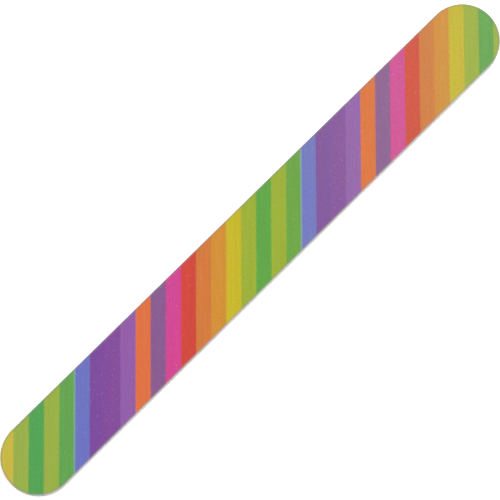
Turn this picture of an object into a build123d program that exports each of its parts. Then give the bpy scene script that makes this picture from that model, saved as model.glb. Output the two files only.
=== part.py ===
from build123d import *
import os

os.makedirs("parts", exist_ok=True)

# A cushioned nail file in millimetres: a straight laminate with two full-round ends, die-cut
# from a sheet, with an abrasive face on each broad side so that either one can be used.
# From the middle outwards each half holds an adhesive film, a foam pad, a second adhesive film,
# a printed backing paper and the abrasive coat. A stiff plastic strip between the two halves
# keeps the file straight. Nothing on it moves.
# +X runs along the file, +Y across it and +Z up. The origin is the middle of the underside.

# Outline of the die-cut blank
file_length = 178.0  # over both round ends
file_width = 20.0  # each end is a full round of half this

# Thickness of each layer
core_thickness = 0.8
core_tape_thickness = 0.1
foam_thickness = 1.0
sheet_tape_thickness = 0.1
paper_thickness = 0.25
grit_thickness = 0.15

# How far each layer's edge stands inside the outline. The abrasive sheet is cut flush, the
# plastic almost so, the foam springs back behind the blade and the adhesive creeps in most.
core_setback = 0.05
foam_setback = 0.15
tape_setback = 0.2

# Relief of the hard edges
core_edge_bevel = 0.1  # both rims of the plastic strip
grit_edge_round = 0.08  # outer rim of each abrasive coat, where it rubs the finger

# Faces of the layers, measured outwards from the middle plane of the laminate
core_face = core_thickness / 2
foam_seat = core_face + core_tape_thickness
foam_face = foam_seat + foam_thickness
paper_seat = foam_face + sheet_tape_thickness
paper_face = paper_seat + paper_thickness
grit_face = paper_face + grit_thickness

# Height of the middle plane: the lower abrasive face rests on z = 0
mid_height = grit_face


def layer_outline(setback=0.0):
    """Draw the blank's round-ended outline, drawn in by the setback all round."""
    SlotOverall(file_length - 2 * setback, file_width - 2 * setback)


def save_layer(layer, name):
    """Label one finished layer and write it to its own file."""
    layer.part.label = name
    export_step(layer.part, f"parts/{name}.step")


# Stiff plastic strip at the middle of the laminate
with BuildPart() as plastic_core:
    with BuildSketch(Plane.XY.offset(mid_height)):
        layer_outline(core_setback)
    extrude(amount=core_face, both=True)
    rims = plastic_core.faces().filter_by(Axis.Z).edges()
    chamfer(rims, length=core_edge_bevel)
save_layer(plastic_core, "plastic_core")

# The two halves are alike, and each one is built outwards from the plastic strip
for side, outwards in (("lower", -1), ("upper", 1)):
    # Double-sided adhesive film between the strip and the foam
    with BuildPart() as core_tape:
        with BuildSketch(Plane.XY.offset(mid_height + outwards * core_face)):
            layer_outline(tape_setback)
        extrude(amount=outwards * core_tape_thickness)
    save_layer(core_tape, f"{side}_core_tape")

    # Closed-cell foam pad that lets the face follow the curve of a nail
    with BuildPart() as foam_pad:
        with BuildSketch(Plane.XY.offset(mid_height + outwards * foam_seat)):
            layer_outline(foam_setback)
        extrude(amount=outwards * foam_thickness)
    save_layer(foam_pad, f"{side}_foam_pad")

    # Double-sided adhesive film between the foam and the abrasive sheet
    with BuildPart() as sheet_tape:
        with BuildSketch(Plane.XY.offset(mid_height + outwards * foam_face)):
            layer_outline(tape_setback)
        extrude(amount=outwards * sheet_tape_thickness)
    save_layer(sheet_tape, f"{side}_sheet_tape")

    # Backing paper that carries the printed stripes, cut flush with the outline
    with BuildPart() as backing_paper:
        with BuildSketch(Plane.XY.offset(mid_height + outwards * paper_seat)):
            layer_outline()
        extrude(amount=outwards * paper_thickness)
    save_layer(backing_paper, f"{side}_backing_paper")

    # Abrasive coat of grains in clear resin, bonded to the paper, with its outer rim rounded
    with BuildPart() as grit_coat:
        with BuildSketch(Plane.XY.offset(mid_height + outwards * paper_face)):
            layer_outline()
        extrude(amount=outwards * grit_thickness)
        outer_face = grit_coat.faces().sort_by(Axis.Z)[-1 if outwards > 0 else 0]
        fillet(outer_face.edges(), radius=grit_edge_round)
    save_layer(grit_coat, f"{side}_grit_coat")
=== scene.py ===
# %% [markdown]
# # A cushioned nail file
#
# The object is a flat stick for shaping and buffing nails. It is a laminate: a stiff plastic
# strip in the middle, a pad of closed-cell foam on each side of it, and an abrasive sheet on
# each face, with adhesive film between them. A blade cuts the whole stack at once into a long
# shape with round ends. The faces are printed with rainbow stripes on a slant, and covered with
# fine grains in clear resin.
#
# The lesson goes the way a maker would: the stage first, then the outline that every layer
# shares, then each layer's own surface, and last the finishes.

# %% Load the frame
import colorsys
import math

import bpy
import numpy as np
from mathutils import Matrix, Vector


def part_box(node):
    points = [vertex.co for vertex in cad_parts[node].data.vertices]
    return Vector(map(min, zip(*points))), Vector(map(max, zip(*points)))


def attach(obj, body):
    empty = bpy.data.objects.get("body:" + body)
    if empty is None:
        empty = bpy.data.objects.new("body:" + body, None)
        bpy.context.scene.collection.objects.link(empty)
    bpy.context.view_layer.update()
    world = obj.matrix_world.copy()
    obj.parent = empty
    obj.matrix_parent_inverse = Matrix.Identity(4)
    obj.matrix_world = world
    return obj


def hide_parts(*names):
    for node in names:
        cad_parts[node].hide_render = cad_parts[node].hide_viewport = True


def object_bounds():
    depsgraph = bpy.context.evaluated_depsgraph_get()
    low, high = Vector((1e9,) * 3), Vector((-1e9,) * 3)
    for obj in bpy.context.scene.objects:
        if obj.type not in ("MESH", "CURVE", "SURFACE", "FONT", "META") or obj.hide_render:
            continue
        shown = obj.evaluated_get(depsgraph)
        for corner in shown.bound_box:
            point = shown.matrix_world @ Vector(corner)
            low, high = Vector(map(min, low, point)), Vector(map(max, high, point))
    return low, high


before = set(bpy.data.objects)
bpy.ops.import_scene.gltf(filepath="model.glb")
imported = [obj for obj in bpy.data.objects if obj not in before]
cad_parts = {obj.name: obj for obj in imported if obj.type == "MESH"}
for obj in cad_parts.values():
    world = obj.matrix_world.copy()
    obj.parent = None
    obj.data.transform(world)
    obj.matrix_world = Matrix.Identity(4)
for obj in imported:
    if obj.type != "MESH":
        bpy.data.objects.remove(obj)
cad_low, cad_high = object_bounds()
mm = 0.001

print("frame", [round(v / mm, 2) for v in cad_high - cad_low], "mm")

# %% [markdown]
# ## The sizes that everything else follows
#
# The layers are already sized and placed in the frame, so their heights are read from it and
# never typed in. The backing papers are cut flush with the blade, so their box gives the
# outline: its width gives the radius of the round ends, and the rest of the length is straight.

# %% Read the outline and the layers' heights
paper_low, paper_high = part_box("upper_backing_paper")
half_width = (paper_high.y - paper_low.y) / 2
half_straight = cad_high.x - half_width


def heights(node):
    """The lowest and highest height of one layer."""
    low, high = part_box(node)
    return low.z, high.z


print("half width", half_width / mm, "straight half", half_straight / mm)

# %% [markdown]
# ## The camera
#
# A long lens from nearly overhead keeps the stick's two edges almost parallel. Azimuth and
# elevation are turned into a direction, and the camera is set back along it. The azimuth lays
# the stick along the picture's diagonal, and the few degrees that are missing from straight
# down show a sliver of its long side. That sliver takes room too, so the camera is aimed a
# little off the stick's middle, and the two together sit in the middle of the frame.

# %% Place the camera
camera_azimuth = math.radians(-44.82)
camera_elevation = math.radians(81.0)
camera_distance = 0.75
lens_length = 204.0
aim_right = -0.80 * mm
aim_up = -0.69 * mm

centre = (cad_low + cad_high) / 2
back = Vector((
    math.sin(camera_azimuth) * math.cos(camera_elevation),
    -math.cos(camera_azimuth) * math.cos(camera_elevation),
    math.sin(camera_elevation),
))
rightwards = Vector((math.cos(camera_azimuth), math.sin(camera_azimuth), 0))
aim = centre + rightwards * aim_right + back.cross(rightwards) * aim_up
camera_data = bpy.data.cameras.new("camera")
camera_data.lens = lens_length
camera_data.clip_start = 0.01
camera_data.clip_end = 20.0
camera = bpy.data.objects.new("camera", camera_data)
bpy.context.scene.collection.objects.link(camera)
camera.location = aim + back * camera_distance
camera.rotation_mode = "QUATERNION"
camera.rotation_quaternion = back.to_track_quat("Z", "Y")
bpy.context.scene.camera = camera
bpy.context.scene.view_settings.view_transform = "Standard"

print("camera at", [round(v, 3) for v in camera.location])

# %% [markdown]
# ## The stage
#
# Small goods are shot on a white sweep that is lit so well that it loses their shadow. The
# floor here is a plain white sheet that glows a little, which does the same, and the sky
# around is an even white. Two large soft panels give the light a direction: a broad one high
# up beyond the right end, and a far weaker one low on the near side, for the cut edge.

# %% Build the floor, the sky and the lights
floor_half = 3.0
floor_glow = 0.58
sky_glow = 0.34
floor_mesh = bpy.data.meshes.new("floor")
floor_mesh.from_pydata(
    [(-floor_half, -floor_half, 0), (floor_half, -floor_half, 0),
     (floor_half, floor_half, 0), (-floor_half, floor_half, 0)],
    [], [(0, 1, 2, 3)])
floor = bpy.data.objects.new("floor", floor_mesh)
bpy.context.scene.collection.objects.link(floor)
floor_finish = bpy.data.materials.new("white_sweep")
floor_finish.use_nodes = True
sweep = floor_finish.node_tree.nodes["Principled BSDF"]
sweep.inputs["Base Color"].default_value = (0.93, 0.93, 0.93, 1)
sweep.inputs["Roughness"].default_value = 0.9
sweep.inputs["Specular IOR Level"].default_value = 0.0
sweep.inputs["Emission Color"].default_value = (1, 1, 1, 1)
sweep.inputs["Emission Strength"].default_value = floor_glow
floor_mesh.materials.append(floor_finish)

sky = bpy.data.worlds.new("studio")
bpy.context.scene.world = sky
sky.use_nodes = True
sky.node_tree.nodes["Background"].inputs["Color"].default_value = (1, 1, 1, 1)
sky.node_tree.nodes["Background"].inputs["Strength"].default_value = sky_glow


def soft_panel(name, place, size, power):
    """A square area light at a place, turned towards the middle of the object."""
    data = bpy.data.lights.new(name, "AREA")
    data.size = size
    data.energy = power
    lamp = bpy.data.objects.new(name, data)
    bpy.context.scene.collection.objects.link(lamp)
    lamp.location = place
    lamp.rotation_mode = "QUATERNION"
    lamp.rotation_quaternion = (centre - lamp.location).to_track_quat("-Z", "Y")
    return lamp


soft_panel("key_panel", (1.3, 0.1, 1.8), 1.2, 40.0)
soft_panel("side_panel", (-0.2, -1.4, 0.9), 0.8, 3.0)

# %% [markdown]
# ## Numbers that look like chance
#
# Nothing cut, moulded or coated is perfectly even. Two helpers give the unevenness. The first
# blurs a field of random numbers until its bumps have the size asked for, and it wraps round,
# so it closes on itself when it is laid along the outline. The second is a cell pattern: it
# scatters one point in each square of a grid and gives the distance to the nearest, which is
# what grains and the cells of a foam look like. Both start from a fixed seed, so the object is
# the same each time.

# %% Make the two kinds of unevenness
def smooth_noise(rows, columns, row_reach, column_reach, seed):
    """Random numbers blurred by a bell curve that reaches so many cells along each axis.

    In words: take the field's waves, weaken each by exp(-(2 pi f reach)^2 / 2), turn them
    back into a field, and scale it to a spread of one."""
    field = np.random.default_rng(seed).standard_normal((rows, columns))
    row_wave = np.fft.fftfreq(rows)[:, None] * row_reach
    column_wave = np.fft.rfftfreq(columns)[None, :] * column_reach
    bell = np.exp(-2 * math.pi ** 2 * (row_wave ** 2 + column_wave ** 2))
    blurred = np.fft.irfft2(np.fft.rfft2(field) * bell, s=(rows, columns))
    return blurred / blurred.std()


def cell_pattern(across, up, cell, wrap, seed):
    """Distance from each place to the nearest scattered point, and that point's own number.

    In words: the plane is cut into square cells, and each holds one point at random. A place
    is measured to the points of its own cell and of the eight round it, and the least distance
    is kept. Cells repeat along the first axis after `wrap`, so a closed outline has no seam."""
    count = max(1, round(wrap / cell))
    size = wrap / count
    table = np.random.default_rng(seed).random((3, count, 64))
    column = np.floor(across / size).astype(int)
    row = np.floor(up / size).astype(int)
    best = np.full(np.shape(across), np.inf)
    number = np.zeros(np.shape(across))
    for step_across in (-1, 0, 1):
        for step_up in (-1, 0, 1):
            c, r = column + step_across, row + step_up
            spot = table[:, c % count, r % 64]
            distance = np.hypot((c + spot[0]) * size - across, (r + spot[1]) * size - up)
            nearer = distance < best
            best = np.where(nearer, distance, best)
            number = np.where(nearer, spot[2], number)
    return best / size, number


print("noise ready")

# %% [markdown]
# ## The outline that the blade cuts
#
# Every layer has the same outline: two straight sides and two half circles. Walking round it
# at an even pace gives a place and an outward direction for any distance walked. The walk
# starts half a pace past the right tip, so each point has a twin straight across the stick and
# the faces of a layer can be filled with plain four-sided strips between twins.

# %% Walk round the outline
straight_length = 2 * half_straight
arc_length = math.pi * half_width
outline_length = 2 * (straight_length + arc_length)


def walk_outline(count):
    """Distance walked, places and outward directions at `count` even paces round the outline.

    In words: the walk runs up half the right arc, back along the far side, round the left arc,
    forward along the near side and up the other half of the right arc. On an arc the direction
    is the angle walked over the radius; on a side it points straight out."""
    walked = (np.arange(count) + 0.5) * outline_length / count
    far_side = arc_length / 2
    left_arc = far_side + straight_length
    near_side = left_arc + arc_length
    right_arc = near_side + straight_length
    quarter = math.pi / 2
    angle = np.select(
        [walked < far_side, walked < left_arc, walked < near_side, walked < right_arc],
        [walked / half_width, quarter + 0 * walked, quarter + (walked - left_arc) / half_width,
         3 * quarter + 0 * walked],
        3 * quarter + (walked - right_arc) / half_width)
    outward = np.stack([np.cos(angle), np.sin(angle)], axis=1)
    middle = np.select(
        [walked < far_side, walked < left_arc, walked < near_side, walked < right_arc],
        [half_straight + 0 * walked, half_straight - (walked - far_side),
         -half_straight + 0 * walked, -half_straight + (walked - near_side)],
        half_straight)
    place = outward * half_width
    place[:, 0] += middle
    return walked, place, outward


print("outline", round(outline_length / mm, 1), "mm round")

# %% [markdown]
# ## From arrays to a mesh
#
# A surface is worked out as whole arrays of points and of four-cornered faces. Each face also
# gets a place on a flat map that the finish can be painted on when the model is exported. The
# stick is nine times as long as it is wide, so on a square map it is folded: it is cut into
# lengths that lie above each other, and no part of the map is wasted.

# %% Turn arrays into a piece
pieces = {}


def fold_on_map(columns, rows, folds, low, high):
    """Map places of the four corners of each quad of a strip that is cut into equal lengths.

    In words: the quad's column, counted inside its own length, gives the place along the map,
    and the length it belongs to with its row gives the place up it, between low and high."""
    column, row = np.meshgrid(np.arange(columns), np.arange(rows), indexing="ij")
    per_fold = math.ceil(columns / folds)
    fold = column // per_fold
    band = (high - low) / folds
    gap = band * 0.03
    corners = []
    for step_along, step_up in ((0, 0), (1, 0), (1, 1), (0, 1)):
        along = 0.004 + 0.992 * (column - fold * per_fold + step_along) / per_fold
        up = low + fold * band + gap + (band - 2 * gap) * (row + step_up) / rows
        corners.append(np.stack([along, up], axis=-1))
    return np.stack(corners, axis=2).reshape(-1, 4, 2)


def make_piece(name, points, quads, places, smooth):
    """A new object from points, quads and their places on the map, with its faces outwards."""
    mesh = bpy.data.meshes.new(name)
    mesh.from_pydata(points.tolist(), [], quads.tolist())
    bake_map = mesh.uv_layers.new(name="OFBake")
    bake_map.uv.foreach_set("vector", places.astype(np.float32).ravel())
    mesh.polygons.foreach_set("use_smooth", np.full(len(quads), smooth))
    mesh.update()
    mesh.validate()
    piece = bpy.data.objects.new(name, mesh)
    bpy.context.scene.collection.objects.link(piece)
    pieces[name] = piece
    print(name, len(quads), "quads")
    return piece


# %% [markdown]
# ## A layer seen from its cut side
#
# The inner layers only show their cut side, a millimetre or less high. So the wall is where
# the points go: many columns round the outline, several rows up. How far each point stands
# inside the blade's line is a function of the distance walked and of the height, and that
# function is what makes foam look like foam and plastic like plastic. The two broad faces are
# pressed against their neighbours, so plain strips from side to side are enough there.

# %% Build a layer from its wall
def wall_layer(name, node, columns, rows, inset_of, smooth=False):
    """A closed layer in the place of a node, whose wall stands inside the blade's line by
    inset_of(walked, share): walked is the distance round and share the height from 0 to 1."""
    bottom, top = heights(node)
    walked, place, outward = walk_outline(columns)
    share = np.linspace(0, 1, rows + 1)
    walked_grid, share_grid = np.meshgrid(walked, share)
    inset = inset_of(walked_grid, share_grid)
    flat = place[None] - outward[None] * inset[..., None]
    level = bottom + (top - bottom) * share_grid
    points = np.concatenate([flat, level[..., None]], axis=2).reshape(-1, 3)

    column, row = np.meshgrid(np.arange(columns), np.arange(rows), indexing="ij")
    after = (column + 1) % columns
    wall = np.stack([row * columns + column, row * columns + after,
                     (row + 1) * columns + after, (row + 1) * columns + column], axis=-1)
    rung = np.arange(columns // 2 - 1)
    lid = np.stack([rung, rung + 1, columns - 2 - rung, columns - 1 - rung], axis=-1)
    quads = np.concatenate([wall.reshape(-1, 4), lid + rows * columns, lid[:, ::-1]])
    places = np.concatenate([
        fold_on_map(columns, rows, 12, 0.0, 0.7),
        fold_on_map(len(rung), 1, 2, 0.7, 0.85),
        fold_on_map(len(rung), 1, 2, 0.85, 1.0)[:, ::-1]])
    piece = make_piece(name, points, quads, places, smooth)
    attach(piece, "root")
    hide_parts(node)
    return piece


# %% [markdown]
# ## The foam pads
#
# Closed-cell foam is a froth of tiny bubbles. The blade squeezes it as it cuts, and when the
# foam springs back its side is hollow: it stays wide where the adhesive holds it and draws in
# at mid height. The blade also opens the bubbles that it passes through, and each leaves a
# small round pit. So the inset is a shallow arch over the height, plus a pit in each cell of
# the cell pattern, plus a slow waver from the hand that fed the sheet.

# %% Make the two foam pads
foam_edge_inset = 0.06 * mm
foam_hollow = 0.2 * mm
foam_cell = 0.3 * mm
pit_depth = 0.11 * mm
pit_reach = 0.55
shallowest_pit = 0.35
foam_waver = 0.015 * mm
foam_columns = 3600
foam_rows = 12


def foam_inset(node, seed):
    """Inset of a foam wall: edge + hollow * sin(pi share) + pits + waver."""
    bottom, top = heights(node)

    def inset(walked, share):
        distance, number = cell_pattern(
            walked, share * (top - bottom), foam_cell, outline_length, seed)
        pit = np.clip(1 - (distance / pit_reach) ** 2, 0, 1)
        pit = pit * (shallowest_pit + (1 - shallowest_pit) * number)
        waver = smooth_noise(*walked.shape, 1.5, 60, seed + 1)
        held = np.sin(math.pi * share)
        arch = foam_edge_inset + foam_hollow * held
        return arch + pit_depth * pit * held ** 0.4 + foam_waver * waver
    return inset


foam_pads = [
    wall_layer("upper_foam", "upper_foam_pad", foam_columns, foam_rows,
               foam_inset("upper_foam_pad", 11)),
    wall_layer("lower_foam", "lower_foam_pad", foam_columns, foam_rows,
               foam_inset("lower_foam_pad", 23)),
]

# %% [markdown]
# ## The plastic strip
#
# Polystyrene cracks the last part of the way ahead of the blade. Its side has fine upright
# scratches from nicks in the blade's edge and a small chamfer at both rims, where the blade
# pressed before it cut.

# %% Make the plastic strip
core_rim = 0.09 * mm
core_rim_share = 0.12
core_edge_inset = 0.05 * mm
scratch_depth = 0.005 * mm
ripple_depth = 0.006 * mm


def core_inset(walked, share):
    """Inset of the plastic wall: a chamfer near both rims plus upright scratches."""
    to_rim = np.minimum(share, 1 - share)
    chamfer = core_rim * np.clip(1 - to_rim / core_rim_share, 0, 1) ** 1.5
    scratches = smooth_noise(*walked.shape, 6, 0.8, 31)
    ripple = smooth_noise(*walked.shape, 2, 14, 37)
    return core_edge_inset + chamfer + scratch_depth * scratches + ripple_depth * ripple


core = wall_layer("core_strip", "plastic_core", 2400, 9, core_inset)

# %% [markdown]
# ## The backing papers
#
# Heavy abrasive paper tears a little as it is cut: the side nearest the printed face is clean,
# because the blade met it first, and loose fibres stand out towards the other side.

# %% Make the two backing papers
paper_edge_inset = 0.02 * mm
fibre_length = 0.014 * mm


def paper_inset(seed, outer_side_up):
    """Inset of a paper wall: fibres that grow from the printed side to the foam side."""
    def inset(walked, share):
        depth = 1 - share if outer_side_up else share
        fibres = smooth_noise(*walked.shape, 0.6, 0.9, seed)
        return np.clip(paper_edge_inset + fibre_length * fibres * (0.3 + depth), 0, None)
    return inset


papers = [
    wall_layer("upper_paper", "upper_backing_paper", 3000, 4, paper_inset(41, True)),
    wall_layer("lower_paper", "lower_backing_paper", 3000, 4, paper_inset(43, False)),
]

# %% [markdown]
# ## The adhesive films
#
# The acrylic adhesive is soft. It is squeezed out a little and bulges between the layers, in
# some places more than in others, but it stays behind the blade's line.

# %% Make the four adhesive films
film_edge_inset = 0.17 * mm
film_bead = 0.05 * mm
film_wander = 0.02 * mm


def film_inset(seed):
    """Inset of a film's wall: a rounded bead, least at mid height, that wanders along."""
    def inset(walked, share):
        bead = 1 - np.sin(math.pi * share) ** 0.5
        wander = np.clip(smooth_noise(*walked.shape, 8, 25, seed), -2.5, 2.5)
        return film_edge_inset + film_bead * bead + film_wander * wander
    return inset


film_nodes = ["upper_sheet_tape", "upper_core_tape", "lower_core_tape", "lower_sheet_tape"]
films = [
    wall_layer(node.replace("tape", "film"), node, 1800, 4, film_inset(51 + number), True)
    for number, node in enumerate(film_nodes)
]

# %% [markdown]
# ## The abrasive faces
#
# This is the part that is seen most, and its grains have to be real relief, because that is
# what the face is for. The face is one grid of points. Between the two half circles it is a
# plain grid. Over each half circle the same grid is bent: a square can be pressed into a
# circle by pulling each side in by an amount that grows with the other coordinate, and half of
# that square makes a half circle that meets the straight part without a seam.

# %% Lay a grid over the face
face_columns = 900
face_rows = 99
end_columns = 50


def face_grid(rim_inset):
    """Places of the face's grid, drawn in by rim_inset.

    In words: v runs across from -1 to 1. On the straight part x is linear and y = v r. On an
    end, u runs from 0 to 1, x = r u sqrt(1 - v^2 / 2) and y = r v sqrt(1 - u^2 / 2)."""
    radius = half_width - rim_inset
    index = np.arange(face_columns + 1)
    along = (index - end_columns) / (face_columns - 2 * end_columns) * 2 - 1
    middle = np.clip(along, -1, 1) * half_straight
    from_left = 1 - index / end_columns
    from_right = 1 - (face_columns - index) / end_columns
    u = np.clip(np.maximum(from_left, from_right), 0, 1)[:, None]
    side = np.where(index < face_columns / 2, -1, 1)[:, None]
    v = np.linspace(-1, 1, face_rows + 1)[None, :]
    x = middle[:, None] + side * radius * u * np.sqrt(1 - v ** 2 / 2)
    y = radius * v * np.sqrt(1 - u ** 2 / 2)
    return x, y


def rim_of_grid():
    """Numbers of the grid's outer points in order, against the clock, from the right tip."""
    number = np.arange((face_columns + 1) * (face_rows + 1)).reshape(face_columns + 1, -1)
    middle = (face_rows + 1) // 2
    return np.concatenate([
        number[-1, middle:], number[-2::-1, -1], number[0, -2::-1], number[1:, 0],
        number[-1, 1:middle]])


print("face grid", face_columns, "x", face_rows)

# %% [markdown]
# Each grid point is then shifted a little in the plane, so that no rows show, and lowered from
# the top of the coat by a depth that is mostly chance: a third of the points are the tips of
# proud grains, and the rest lie in the resin between them. Under a slow waver of the resin the
# faces stay flat-shaded, because a grain has facets. The rim is worn round, and three more
# rows of points carry it down to the paper.

# %% Raise the grains and close the coat
grain_depth = 0.025 * mm
proud_share = 0.34
proud_depth = 0.25
sunk_depth = 0.6
resin_waver = 0.08
deepest = 1.15
rim_round = 0.08 * mm


def grit_face(name, node, seed, up):
    """The abrasive coat in the place of a node, grains outwards, as one closed mesh."""
    bottom, top = heights(node)
    coat = top - bottom
    x, y = face_grid(rim_round)
    chance = np.random.default_rng(seed)
    reach = 0.3 * 2 * half_width / face_rows
    jitter = chance.uniform(-reach, reach, (2, *x.shape))
    jitter[:, [0, -1], :] = 0
    jitter[:, :, [0, -1]] = 0
    proud = chance.random(x.shape) < proud_share
    tip = proud_depth * chance.random(x.shape)
    valley = sunk_depth + (1 - sunk_depth) * chance.random(x.shape)
    depth = np.where(proud, tip, valley)
    resin = smooth_noise(*x.shape, 4, 4, seed + 1)
    depth = np.clip(depth + resin_waver * resin, 0, deepest) * grain_depth
    depth[[0, -1], :] = depth[:, [0, -1]] = 0.5 * grain_depth
    level = coat - depth
    face = np.stack([x + jitter[0], y + jitter[1], level], axis=-1).reshape(-1, 3)

    rim = rim_of_grid()
    count = len(rim)
    rings = []
    for inset, height in ((0.3, 0.45), (0.0, 0.25), (0.0, 0.0)):
        ring_x, ring_y = face_grid(rim_round * inset)
        rings.append(np.stack([ring_x.ravel()[rim], ring_y.ravel()[rim],
                               np.full(count, coat * height)], axis=-1))
    points = np.concatenate([face, *rings])

    column, row = np.meshgrid(np.arange(face_columns), np.arange(face_rows), indexing="ij")
    corner = column * (face_rows + 1) + row
    grid = np.stack([corner, corner + face_rows + 1, corner + face_rows + 2, corner + 1],
                    axis=-1).reshape(-1, 4)
    ring_numbers = np.concatenate([rim[None], len(face) + np.arange(3 * count).reshape(3, -1)])
    after = np.roll(ring_numbers, -1, axis=1)
    skirt = np.stack([ring_numbers[:-1], ring_numbers[1:], after[1:], after[:-1]], axis=-1)
    skirt = skirt.transpose(1, 0, 2).reshape(-1, 4)
    rung = np.arange(count // 2 - 1)
    last = ring_numbers[-1]
    base = np.stack([last[rung], last[count - 1 - rung], last[count - 2 - rung],
                     last[rung + 1]], axis=-1)
    quads = np.concatenate([grid, skirt, base])
    downwards = [0, 3, 2, 1]
    places = np.concatenate([
        fold_on_map(face_columns, face_rows, 3, 0.0, 0.93),
        fold_on_map(count, 3, 2, 0.93, 0.985)[:, downwards],
        fold_on_map(len(rung), 1, 1, 0.985, 1.0)[:, downwards]])
    to_edge = half_width - np.hypot(np.maximum(np.abs(points[:, 0]) - half_straight, 0),
                                    points[:, 1])
    if up:
        points[:, 2] += bottom
    else:
        points[:, 2] = top - points[:, 2]
        quads, places = quads[:, ::-1], places[:, ::-1]
    piece = make_piece(name, points, quads, places, False)
    piece.data.attributes.new("to_edge", "FLOAT", "POINT").data.foreach_set("value", to_edge)
    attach(piece, "root")
    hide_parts(node)
    return piece


grit_faces = [
    grit_face("upper_grit", "upper_grit_coat", 61, True),
    grit_face("lower_grit", "lower_grit_coat", 67, False),
]

# %% [markdown]
# ## Helpers for finishes
#
# A finish is a small tree of nodes. Three short helpers keep the recipes readable: one adds a
# node and fills its sockets, one does sums, and one mixes two colours. A fourth starts a node
# group, which is a recipe that several finishes share, each with its own amounts.

# %% Define the node helpers
def add(tree, kind, sockets=None, **settings):
    """A new node. Each named socket is given a value, or linked if the value is a socket."""
    made = tree.nodes.new("ShaderNode" + kind)
    for key, value in settings.items():
        setattr(made, key, value)
    for key, value in (sockets or {}).items():
        if isinstance(value, bpy.types.NodeSocket):
            tree.links.new(value, made.inputs[key])
        else:
            made.inputs[key].default_value = value
    return made


def sum_of(tree, operation, *values):
    """The result of a Math node, such as MULTIPLY, on sockets or numbers."""
    return add(tree, "Math", dict(enumerate(values)), operation=operation).outputs[0]


def ease(tree, value, start, end, low=0.0, high=1.0):
    """The value carried smoothly from low at start to high at end, and held outside that."""
    sockets = {"Value": value, "From Min": start, "From Max": end, "To Min": low, "To Max": high}
    return add(tree, "MapRange", sockets, interpolation_type="SMOOTHSTEP").outputs["Result"]


def mix(tree, share, first, second, blend_type="MIX"):
    """The colour that is `share` of the way from the first to the second."""
    sockets = {0: share, 6: first, 7: second}
    return add(tree, "Mix", sockets, data_type="RGBA", blend_type=blend_type).outputs[2]


def start_group(name, inputs, outputs):
    """An empty node group with these sockets, its entry and its exit."""
    group = bpy.data.node_groups.new(name, "ShaderNodeTree")
    for label, kind, value in inputs:
        socket = group.interface.new_socket(label, in_out="INPUT", socket_type="NodeSocket" + kind)
        if kind != "Vector":
            socket.default_value = value
    for label, kind in outputs:
        group.interface.new_socket(label, in_out="OUTPUT", socket_type="NodeSocket" + kind)
    return group, group.nodes.new("NodeGroupInput"), group.nodes.new("NodeGroupOutput")


def use_group(tree, group, sockets):
    """A group placed in a finish with its own amounts."""
    placed = tree.nodes.new("ShaderNodeGroup")
    placed.node_tree = group
    for key, value in sockets.items():
        if isinstance(value, bpy.types.NodeSocket):
            tree.links.new(value, placed.inputs[key])
        else:
            placed.inputs[key].default_value = value
    return placed


def start_finish(name):
    """A new material, its tree, its Principled shader and its Object coordinates."""
    finish = bpy.data.materials.new(name)
    finish.use_nodes = True
    tree = finish.node_tree
    places = add(tree, "TexCoord").outputs["Object"]
    return finish, tree, tree.nodes["Principled BSDF"], places


def linear(red, green, blue):
    """A screen colour from 0 to 255 as the light it stands for, the way sRGB defines it."""
    part = np.array([red, green, blue]) / 255
    light = np.where(part <= 0.04045, part / 12.92, ((part + 0.055) / 1.055) ** 2.4)
    return (*light.tolist(), 1.0)


# %% [markdown]
# ## The rainbow print
#
# Fifteen stripes of one width repeat along the stick, at a slant of about 45 degrees. The
# colours could be painted as many thin faces, but then the grains could not cross a border.
# So the print is a pattern, and it starts as a plain list of inks in their order. Each ink is
# given as a printer would name it: a hue in degrees round the colour wheel, how rich it
# is and how bright it is in hundredths, all in steps of five. They are a little richer than
# they look in the end, because the grains lay a pale sheen over them. One lime is used twice.
# Between the second green and the blue the plates do not quite meet, and a hairline of pale
# blue-green shows.

# %% List the inks
stripe_width = 3.983 * mm
hairline = 0.38 * mm
lime = (70, 80, 70)
inks = [
    ("yellow", (55, 100, 80)),
    ("lime", lime),
    ("leaf_green", (110, 65, 65)),
    ("second_lime", lime),
    ("second_green", (100, 65, 65)),
    ("periwinkle", (235, 45, 75)),
    ("deep_violet", (280, 60, 60)),
    ("violet", (285, 60, 60)),
    ("pale_violet", (285, 50, 65)),
    ("orange", (20, 80, 90)),
    ("mauve", (295, 45, 55)),
    ("magenta", (325, 80, 85)),
    ("red", (0, 80, 85)),
    ("tangerine", (25, 80, 85)),
    ("amber", (35, 85, 85)),
]
hairline_ink = (170, 25, 65)
hairline_after = 5
repeat = stripe_width * len(inks)


def named_ink(hue, richness, brightness):
    """The light an ink gives back, from its place on the colour wheel, as sRGB defines it."""
    screen = colorsys.hsv_to_rgb(hue / 360, richness / 100, brightness / 100)
    return linear(*(255 * part for part in screen))


print(len(inks), "inks, repeat", round(repeat / mm, 1), "mm")

# %% [markdown]
# ## Laying the stripes
#
# The print group takes a place that is already turned so that its X crosses the stripes. The
# stripes are counted along X, and a colour ramp with hard steps gives each number its ink. A
# ramp is stored as a table of 256 steps, which is too coarse for a border, so it is read at the
# middle of a stripe, and the counting alone places the border. The borders stray by about a
# tenth of a millimetre, because the ink lies on grains.

# %% Start the print group with its stripes
feather_size = 0.2 * mm

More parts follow.
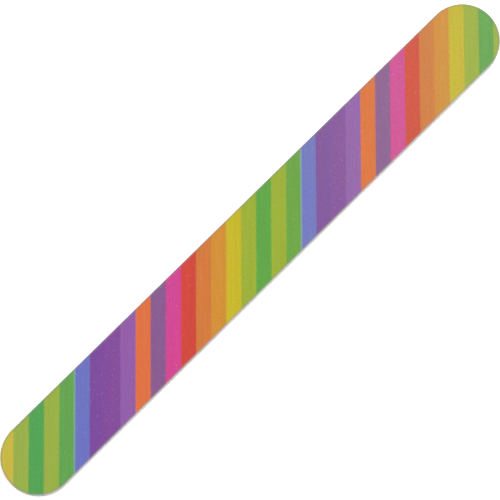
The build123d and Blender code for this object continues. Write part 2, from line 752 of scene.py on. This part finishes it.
print_group, entry, leave = start_group(
    "rainbow_print",
    [("Place", "Vector", None), ("Creep", "Float", 0.3), ("Streaks", "Float", 0.18)],
    [("Colour", "Color")])
split = add(print_group, "SeparateXYZ", {0: entry.outputs["Place"]})
creep_noise = add(print_group, "TexNoise", {
    "Vector": entry.outputs["Place"], "Scale": 1 / feather_size, "Detail": 2.0})
creep = sum_of(print_group, "SUBTRACT", creep_noise.outputs["Fac"], 0.5)
creep = sum_of(print_group, "MULTIPLY", creep, entry.outputs["Creep"])
across = sum_of(print_group, "DIVIDE", split.outputs["X"], stripe_width)
across = sum_of(print_group, "ADD", across, creep)
stripe_middle = sum_of(print_group, "ADD", sum_of(print_group, "FLOOR", across), 0.5)
on_ramp = sum_of(print_group, "FRACT", sum_of(print_group, "DIVIDE", stripe_middle, len(inks)))
ramp = add(print_group, "ValToRGB", {"Fac": on_ramp})
ramp.color_ramp.interpolation = "CONSTANT"
ramp.color_ramp.elements.remove(ramp.color_ramp.elements[1])
for number, (_, ink) in enumerate(inks):
    steps = ramp.color_ramp.elements
    step = steps.new(number / len(inks)) if number else steps[0]
    step.color = named_ink(*ink)

from_gap = sum_of(print_group, "SUBTRACT", across, hairline_after)
from_gap = sum_of(print_group, "WRAP", from_gap, len(inks) / 2, -len(inks) / 2)
from_gap = sum_of(print_group, "ABSOLUTE", from_gap)
from_gap = sum_of(print_group, "MULTIPLY", from_gap, stripe_width)
gap = ease(print_group, from_gap, 0.3 * hairline, 0.7 * hairline, 1.0, 0.0)
striped = mix(print_group, gap, ramp.outputs["Color"], named_ink(*hairline_ink))

print("stripes laid,", len(ramp.color_ramp.elements), "steps on the ramp")

# %% [markdown]
# ## Streaks and a painted sheen
#
# Faint tinted streaks run along the stripes, as a press roller leaves them: a noise drawn out
# along them multiplies the ink. Towards one end of the sheet the red and the green of every
# ink move a little to one dull middle, a painted sheen of light that grows towards that end.
# The blue of every ink is raised least near the middle of the sheet and more towards both
# ends, a painted pale sheen.

# %% Streak the ink and paint the sheen
streak_width = 0.56 * mm
streak_length = 17.0 * mm
painted_sheen_rate = 0.1
painted_sheen_colour = (0.3, 0.3, 0.0, 1.0)
end_sheen_rate = 0.03
least_sheen_place = 0.25

drawn_out = add(print_group, "Mapping", {
    "Vector": entry.outputs["Place"],
    "Scale": (1 / streak_width, 1 / streak_length, 1 / streak_length)})
streak_noise = add(print_group, "TexNoise", {
    "Vector": drawn_out.outputs[0], "Scale": 1.0, "Detail": 3.0})
streak_colour = streak_noise.outputs["Color"]
streak_colour = mix(print_group, 1.0, streak_colour, streak_colour, "ADD")
streak_colour = mix(print_group, entry.outputs["Streaks"], (1, 1, 1, 1), streak_colour)
inked = mix(print_group, 1.0, striped, streak_colour, "MULTIPLY")

on_sheet = sum_of(print_group, "DIVIDE", across, len(inks))
# Painted sheen: towards one end of the stick the red and green of every ink move to one dull
# middle.
sheen_share = sum_of(print_group, "MULTIPLY", sum_of(print_group, "ADD", on_sheet, 1.0), painted_sheen_rate)
with_sheen = add(print_group, "SeparateColor", {0: mix(print_group, sheen_share, inked, painted_sheen_colour)})
# Painted pale sheen: the blue of every ink rises towards both ends of the stick, least near the
# middle.
from_least_sheen = sum_of(print_group, "SUBTRACT", on_sheet, least_sheen_place)
end_sheen = sum_of(print_group, "MULTIPLY", from_least_sheen, from_least_sheen)
end_sheen = sum_of(print_group, "MULTIPLY", end_sheen, end_sheen_rate)
before_sheen = add(print_group, "SeparateColor", {0: inked})
blue_part = sum_of(print_group, "ADD", before_sheen.outputs[2], end_sheen)
inked = add(print_group, "CombineColor", {
    0: with_sheen.outputs[0], 1: with_sheen.outputs[1], 2: blue_part}).outputs[0]
print_group.links.new(inked, leave.inputs["Colour"])

print("print group has", len(print_group.nodes), "nodes")

# %% [markdown]
# ## Grains
#
# The relief of the mesh holds the large grains. The fine ones between them are smaller than
# the mesh can hold, so a cell pattern in the finish gives them: each cell is one grain, with
# its own shade, its own height for the bump, and now and then a face that catches the light.

# %% Build the grain group
grain_group, entry, leave = start_group(
    "grains",
    [("Place", "Vector", None), ("Size", "Float", 0.12 * mm), ("Glint", "Float", 0.1)],
    [("Height", "Float"), ("Shade", "Float"), ("Glints", "Float"), ("Specks", "Float")])
per_metre = sum_of(grain_group, "DIVIDE", 1.0, entry.outputs["Size"])
cells = add(grain_group, "TexVoronoi", {"Vector": entry.outputs["Place"], "Scale": per_metre})
grain_number = add(grain_group, "SeparateColor", {0: cells.outputs["Color"]})
dome = ease(grain_group, cells.outputs["Distance"], 0.0, 0.7, 1.0, 0.0)
height = sum_of(grain_group, "MULTIPLY", dome, grain_number.outputs[0])
glint_from = sum_of(grain_group, "SUBTRACT", 1.0, entry.outputs["Glint"])
glint = sum_of(grain_group, "GREATER_THAN", grain_number.outputs[1], glint_from)
coarse = add(grain_group, "TexVoronoi", {
    "Vector": entry.outputs["Place"], "Scale": sum_of(grain_group, "MULTIPLY", per_metre, 0.16)})
coarse_number = add(grain_group, "SeparateColor", {0: coarse.outputs["Color"]})
speck = ease(grain_group, coarse.outputs["Distance"], 0.14, 0.34, 1.0, 0.0)
speck = sum_of(grain_group, "MULTIPLY", speck,
               ease(grain_group, coarse_number.outputs[0], 0.72, 1.0))
for label, value in (("Height", height), ("Shade", grain_number.outputs[2]),
                     ("Glints", glint), ("Specks", speck)):
    grain_group.links.new(value, leave.inputs[label])

print("grain group has", len(grain_group.nodes), "nodes")

# %% [markdown]
# ## Dust and rub marks
#
# A cut edge is never one clean colour. Paper dust, foam crumbs and a trace of ink are smeared
# along it. Two noises of different size are multiplied, so that the marks come in patches.

# %% Build the dust group
dust_group, entry, leave = start_group(
    "cut_dust",
    [("Place", "Vector", None), ("Patch", "Float", 3.0 * mm), ("Fine", "Float", 0.15 * mm)],
    [("Dust", "Float")])
layers = []
for socket_name, low, high in (("Patch", 0.35, 0.65), ("Fine", 0.4, 0.7)):
    scale = sum_of(dust_group, "DIVIDE", 1.0, entry.outputs[socket_name])
    noise = add(dust_group, "TexNoise", {
        "Vector": entry.outputs["Place"], "Scale": scale, "Detail": 2.0})
    layers.append(ease(dust_group, noise.outputs["Fac"], low, high))
dust_group.links.new(sum_of(dust_group, "MULTIPLY", *layers), leave.inputs["Dust"])

print("dust group ready")

# %% [markdown]
# ## The finish of the abrasive faces
#
# From below: the print, then the grains over it in clear resin. Each grain greys the ink a
# little, a few flash, and sparse lumps show as pale specks.
#
# The colour greys along the rim, a painted shade that fades out within a millimetre. In the
# outermost quarter the coat is worn thin and the paper shows through. On the near side a pale
# band of paper colour reaches further in, a painted light on that side. Here and there a chip
# is gone, in the patches that the dust group gives. The underside carries the same print,
# turned over about the long axis and started elsewhere, because nobody lines the two sheets up.

# %% Make the two striped finishes
stripe_slant = math.radians(45.5)
printed_start = -7.11 * mm
under_start = 11.3 * mm
grain_grey = linear(205, 200, 205)
rim_shade_grey = linear(130, 130, 126)
bare_paper = linear(226, 222, 214)
speck_share = 0.18
rim_shade_share = 0.38
worn_share = 0.24
near_side_light_share = 0.12
chipped_share = 0.6


def place_on_print(tree, places, turned, start):
    """Coordinates in which X crosses the stripes and starts at a yellow one."""
    turn = math.pi / 2 - stripe_slant
    return add(tree, "Mapping", {
        "Vector": places, "Rotation": (0, 0, -turn if turned else turn),
        "Location": (-start, 0, 0)}).outputs[0]


def striped_finish(name, turned, start):
    """Print, grains, pale specks, worn rim, painted rim shade, painted near-side light and chips,
    for one face of the stick.
    """
    finish, tree, shader, places = start_finish(name)
    printed = use_group(tree, print_group, {
        "Place": place_on_print(tree, places, turned, start)})
    grains = use_group(tree, grain_group, {"Place": places, "Size": 0.11 * mm, "Glint": 0.08})
    shade = ease(tree, grains.outputs["Shade"], 0.0, 1.0, 0.0, 0.015)
    colour = mix(tree, shade, printed.outputs["Colour"], grain_grey)
    speck = sum_of(tree, "MULTIPLY", grains.outputs["Specks"], speck_share)
    colour = mix(tree, speck, colour, grain_grey)

    to_edge = add(tree, "Attribute", attribute_name="to_edge").outputs["Fac"]
    across_stick = add(tree, "SeparateXYZ", {0: places}).outputs["Y"]
    # Painted light: on the near side the pale paper colour reaches further in from the rim.
    near_side_mask = ease(tree, across_stick, -0.9 * half_width, -0.3 * half_width, 1.0, 0.0)
    # Painted shade: the colour greys within a millimetre of the rim.
    rim_shade = ease(tree, to_edge, 0.25 * mm, 0.80 * mm, rim_shade_share, 0.0)
    colour = mix(tree, rim_shade, colour, rim_shade_grey)
    worn = ease(tree, to_edge, 0.10 * mm, 0.30 * mm, worn_share, 0.0)
    near_side_light = ease(tree, to_edge, 0.10 * mm, 0.55 * mm, near_side_light_share, 0.0)
    near_side_light = sum_of(tree, "MULTIPLY", near_side_light, near_side_mask)
    colour = mix(tree, sum_of(tree, "ADD", worn, near_side_light), colour, bare_paper)
    dust = use_group(tree, dust_group, {"Place": places, "Patch": 2.0 * mm, "Fine": 0.2 * mm})
    chipped = ease(tree, to_edge, 0.10 * mm, 0.22 * mm, chipped_share, 0.0)
    chipped = sum_of(tree, "MULTIPLY", chipped, dust.outputs["Dust"])
    tree.links.new(mix(tree, chipped, colour, bare_paper), shader.inputs["Base Color"])

    rough = ease(tree, grains.outputs["Shade"], 0.0, 1.0, 0.38, 0.54)
    rough = sum_of(tree, "SUBTRACT", rough,
                   sum_of(tree, "MULTIPLY", grains.outputs["Glints"], 0.2))
    tree.links.new(rough, shader.inputs["Roughness"])
    bump = add(tree, "Bump", {
        "Height": grains.outputs["Height"], "Distance": 0.03 * mm, "Strength": 0.3})
    tree.links.new(bump.outputs[0], shader.inputs["Normal"])
    shader.inputs["Specular IOR Level"].default_value = 0.26
    return finish


grit_faces[0].data.materials.append(striped_finish("striped_grit_upper", False, printed_start))
grit_faces[1].data.materials.append(striped_finish("striped_grit_lower", True, under_start))

# %% [markdown]
# ## The finish of the foam
#
# Real pits are in the mesh already. The finish darkens the inside of each bubble with painted
# shade, so the thin walls stand paler, and adds the dust that settles in the hollow.

# %% Make the foam finish
foam_light = linear(228, 229, 229)
foam_shadow = linear(158, 159, 160)
grey_dust = linear(168, 158, 160)

foam_finish, tree, shader, places = start_finish("white_foam")
bubbles = add(tree, "TexVoronoi", {"Vector": places, "Scale": 1 / (0.2 * mm)},
              feature="DISTANCE_TO_EDGE")
inside = ease(tree, bubbles.outputs["Distance"], 0.02, 0.25)
# Painted shade: the inside of each bubble is darker than its walls.
colour = mix(tree, sum_of(tree, "MULTIPLY", inside, 0.6), foam_light, foam_shadow)
dust = use_group(tree, dust_group, {"Place": places, "Patch": 4.0 * mm, "Fine": 0.3 * mm})
colour = mix(tree, sum_of(tree, "MULTIPLY", dust.outputs["Dust"], 0.35), colour, grey_dust)
tree.links.new(colour, shader.inputs["Base Color"])
tree.links.new(ease(tree, inside, 0.0, 1.0, 0.7, 0.95), shader.inputs["Roughness"])
bump = add(tree, "Bump", {
    "Height": bubbles.outputs["Distance"], "Distance": 0.05 * mm, "Strength": 0.5}, invert=True)
tree.links.new(bump.outputs[0], shader.inputs["Normal"])
shader.inputs["Specular IOR Level"].default_value = 0.3
for pad in foam_pads:
    pad.data.materials.append(foam_finish)

# %% [markdown]
# ## The finish of the plastic
#
# White polystyrene is even in colour, slightly glossy where the blade polished it and frosted
# where it broke. The scratches are upright, so their noise is stretched along Z.

# %% Make the plastic finish
plastic_white = linear(246, 246, 243)
plastic_scuffed = linear(226, 225, 222)

core_finish, tree, shader, places = start_finish("core_plastic")
upright = add(tree, "Mapping", {"Vector": places, "Scale": (6000.0, 6000.0, 400.0)})
scratches = add(tree, "TexNoise", {"Vector": upright.outputs[0], "Scale": 1.0, "Detail": 3.0})
frosted = ease(tree, scratches.outputs["Fac"], 0.42, 0.62)
dust = use_group(tree, dust_group, {"Place": places, "Patch": 6.0 * mm, "Fine": 0.2 * mm})
colour = mix(tree, frosted, plastic_white, plastic_scuffed)
colour = mix(tree, sum_of(tree, "MULTIPLY", dust.outputs["Dust"], 0.25), colour, grey_dust)
tree.links.new(colour, shader.inputs["Base Color"])
tree.links.new(ease(tree, frosted, 0.0, 1.0, 0.35, 0.6), shader.inputs["Roughness"])
bump = add(tree, "Bump", {
    "Height": scratches.outputs["Fac"], "Distance": 0.02 * mm, "Strength": 0.3})
tree.links.new(bump.outputs[0], shader.inputs["Normal"])
core.data.materials.append(core_finish)

# %% [markdown]
# ## The finish of the backing papers
#
# The cut side of the paper shows its fibres end on, as a fine mottle of off-white. The ink has
# soaked a few hundredths of a millimetre into the printed side, so the print group colours the
# outermost part of the wall too.

# %% Make the two paper finishes
paper_pale = linear(228, 224, 214)
paper_dark = linear(186, 178, 166)
ink_soak = 0.07 * mm


def paper_finish(name, turned, start, printed_height):
    """Fibre mottle, with the print showing near the height of the printed side."""
    finish, tree, shader, places = start_finish(name)
    drawn = add(tree, "Mapping", {"Vector": places, "Scale": (2500.0, 2500.0, 16000.0)})
    fibres = add(tree, "TexNoise", {"Vector": drawn.outputs[0], "Scale": 1.0, "Detail": 4.0})
    mottle = ease(tree, fibres.outputs["Fac"], 0.35, 0.65)
    colour = mix(tree, mottle, paper_pale, paper_dark)
    printed = use_group(tree, print_group, {
        "Place": place_on_print(tree, places, turned, start), "Creep": 0.35})
    height = add(tree, "SeparateXYZ", {0: places}).outputs["Z"]
    below = sum_of(tree, "ABSOLUTE", sum_of(tree, "SUBTRACT", height, printed_height))
    soaked = ease(tree, below, 0.2 * ink_soak, ink_soak, 0.9, 0.0)
    tree.links.new(mix(tree, soaked, colour, printed.outputs["Colour"]),
                   shader.inputs["Base Color"])
    tree.links.new(ease(tree, mottle, 0.0, 1.0, 0.75, 0.95), shader.inputs["Roughness"])
    bump = add(tree, "Bump", {
        "Height": fibres.outputs["Fac"], "Distance": 0.02 * mm, "Strength": 0.6})
    tree.links.new(bump.outputs[0], shader.inputs["Normal"])
    return finish


papers[0].data.materials.append(paper_finish(
    "backing_paper_upper", False, printed_start, heights("upper_backing_paper")[1]))
papers[1].data.materials.append(paper_finish(
    "backing_paper_lower", True, under_start, heights("lower_backing_paper")[0]))

# %% [markdown]
# ## The finish of the adhesive
#
# Acrylic adhesive is clear with a straw tint and stays tacky, so its bead is glossy and holds
# dust. Its bright and dull stretches follow the same patches.

# %% Make the adhesive finish
glue_straw = linear(214, 204, 176)
glue_dirty = linear(150, 138, 124)

film_finish, tree, shader, places = start_finish("adhesive_film")
dust = use_group(tree, dust_group, {"Place": places, "Patch": 1.5 * mm, "Fine": 0.12 * mm})
colour = mix(tree, dust.outputs["Dust"], glue_straw, glue_dirty)
tree.links.new(colour, shader.inputs["Base Color"])
tree.links.new(ease(tree, dust.outputs["Dust"], 0.0, 1.0, 0.2, 0.75), shader.inputs["Roughness"])
ripple = add(tree, "TexNoise", {"Vector": places, "Scale": 3500.0, "Detail": 2.0})
bump = add(tree, "Bump", {
    "Height": ripple.outputs["Fac"], "Distance": 0.03 * mm, "Strength": 0.4})
tree.links.new(bump.outputs[0], shader.inputs["Normal"])
for film in films:
    film.data.materials.append(film_finish)

# %% [markdown]
# ## Count the triangles
#
# Each piece's triangles are counted and printed.

# %% Count the triangles
for name, piece in pieces.items():
    piece.data.calc_loop_triangles()
    print(name, len(piece.data.loop_triangles), "triangles")
